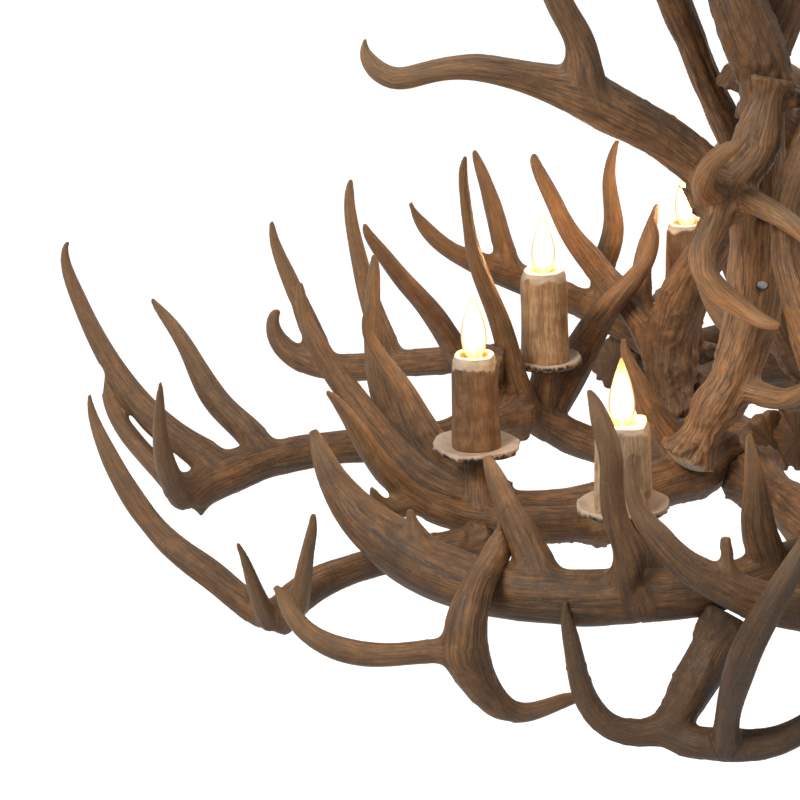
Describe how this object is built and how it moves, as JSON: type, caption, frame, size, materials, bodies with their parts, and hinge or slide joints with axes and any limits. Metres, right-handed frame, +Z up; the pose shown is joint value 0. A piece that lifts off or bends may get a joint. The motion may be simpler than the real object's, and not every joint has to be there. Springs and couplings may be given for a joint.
{
  "type": "antler chandelier",
  "caption": "Hanging chandelier of interlocked shed antlers with candle lights on sawn tines, hung from a ring on a centre stem.",
  "frame": {"origin": "the seat at the top inside of the hanging ring, where the chain link bears, on the chandelier's upright axis", "axes": "+Z up, -Y towards the front that the picture shows, +X to the right"},
  "size_m": [1.8002, 1.2008, 1.0952],
  "materials": {
    "antler": "natural shed antler: ridged brown beam, pale worn tines, sealed with a satin varnish",
    "candle_sleeve": "bored length of antler beam, bark-like outside and pale sawn ends",
    "drip_dish": "cross-cut antler burr, off-white sawn face and beaded brown rim",
    "bulb_glass": "clear blown glass, lit filament, brass-coloured screw base",
    "socket_black": "black phenolic candelabra socket",
    "brass": "plain turned lamp brass",
    "plain_steel": "plain steel fasteners",
    "bronze_iron": "dark bronze painted iron"
  },
  "bodies": {
    "antler_frame": {"front_rim_antler_left": "antler", "front_rim_antler_right": "antler", "front_cross_antler_left": "antler", "front_cross_antler_right": "antler", "front_low_antler_left": "antler", "front_low_antler_right": "antler", "bottom_antler_left": "antler", "bottom_antler_right": "antler", "side_arm_antler_left": "antler", "side_arm_antler_right": "antler", "side_low_antler_left": "antler", "side_low_antler_right": "antler", "back_side_antler_left": "antler", "back_side_antler_right": "antler", "back_arm_antler_left": "antler", "back_arm_antler_right": "antler", "back_rim_antler_left": "antler", "back_rim_antler_right": "antler", "tall_back_antler_left": "antler", "tall_back_antler_right": "antler", "inner_arm_antler_left": "antler", "inner_arm_antler_right": "antler", "inner_front_antler_left": "antler", "inner_front_antler_right": "antler", "column_antler_left": "antler", "column_antler_right": "antler", "top_arm_antler_left": "antler", "top_arm_antler_right": "antler", "crown_antler_left": "antler", "crown_antler_right": "antler", "front_candle_sleeve_left": "candle_sleeve", "front_candle_sleeve_right": "candle_sleeve", "front_drip_dishes": "drip_dish", "side_candle_sleeve_left": "candle_sleeve", "side_candle_sleeve_right": "candle_sleeve", "side_drip_dishes": "drip_dish", "back_candle_sleeve_left": "candle_sleeve", "back_candle_sleeve_right": "candle_sleeve", "back_drip_dishes": "drip_dish", "rear_candle_sleeve_left": "candle_sleeve", "rear_candle_sleeve_right": "candle_sleeve", "rear_drip_dishes": "drip_dish", "lamp_sockets": "socket_black", "lamp_nipples": "brass", "nipple_nuts": "brass", "joining_pins": "plain_steel", "cross_bolts": "plain_steel", "centre_stem": "bronze_iron", "stem_loop": "bronze_iron"},
    "ring": {"hanging_ring": "bronze_iron"},
    "front_lamp_left": {"front_bulb_left": "bulb_glass"},
    "front_lamp_right": {"front_bulb_right": "bulb_glass"},
    "side_lamp_left": {"side_bulb_left": "bulb_glass"},
    "side_lamp_right": {"side_bulb_right": "bulb_glass"},
    "back_lamp_left": {"back_bulb_left": "bulb_glass"},
    "back_lamp_right": {"back_bulb_right": "bulb_glass"},
    "rear_lamp_left": {"rear_bulb_left": "bulb_glass"},
    "rear_lamp_right": {"rear_bulb_right": "bulb_glass"}
  },
  "joints": [
    {"name": "ring_swing", "type": "hinge", "parent": "antler_frame", "child": "ring", "pos_m": [0, 0, -0.0457], "axis": [1, 0, 0], "range_deg": [-60, 60]},
    {"name": "front_lamp_left_turn", "type": "hinge", "parent": "antler_frame", "child": "front_lamp_left", "pos_m": [-0.163, -0.335, -0.5907], "axis": [0, 0, 1], "continuous": true},
    {"name": "front_lamp_right_turn", "type": "hinge", "parent": "antler_frame", "child": "front_lamp_right", "pos_m": [0.163, 0.335, -0.5907], "axis": [0, 0, 1], "continuous": true},
    {"name": "side_lamp_left_turn", "type": "hinge", "parent": "antler_frame", "child": "side_lamp_left", "pos_m": [-0.35, -0.158, -0.5757], "axis": [0, 0, 1], "continuous": true},
    {"name": "side_lamp_right_turn", "type": "hinge", "parent": "antler_frame", "child": "side_lamp_right", "pos_m": [0.35, 0.158, -0.5757], "axis": [0, 0, 1], "continuous": true},
    {"name": "back_lamp_left_turn", "type": "hinge", "parent": "antler_frame", "child": "back_lamp_left", "pos_m": [-0.289, 0.25, -0.5917], "axis": [0, 0, 1], "continuous": true},
    {"name": "back_lamp_right_turn", "type": "hinge", "parent": "antler_frame", "child": "back_lamp_right", "pos_m": [0.289, -0.25, -0.5917], "axis": [0, 0, 1], "continuous": true},
    {"name": "rear_lamp_left_turn", "type": "hinge", "parent": "antler_frame", "child": "rear_lamp_left", "pos_m": [-0.102, 0.385, -0.5457], "axis": [0, 0, 1], "continuous": true},
    {"name": "rear_lamp_right_turn", "type": "hinge", "parent": "antler_frame", "child": "rear_lamp_right", "pos_m": [0.102, -0.385, -0.5457], "axis": [0, 0, 1], "continuous": true}
  ]
}
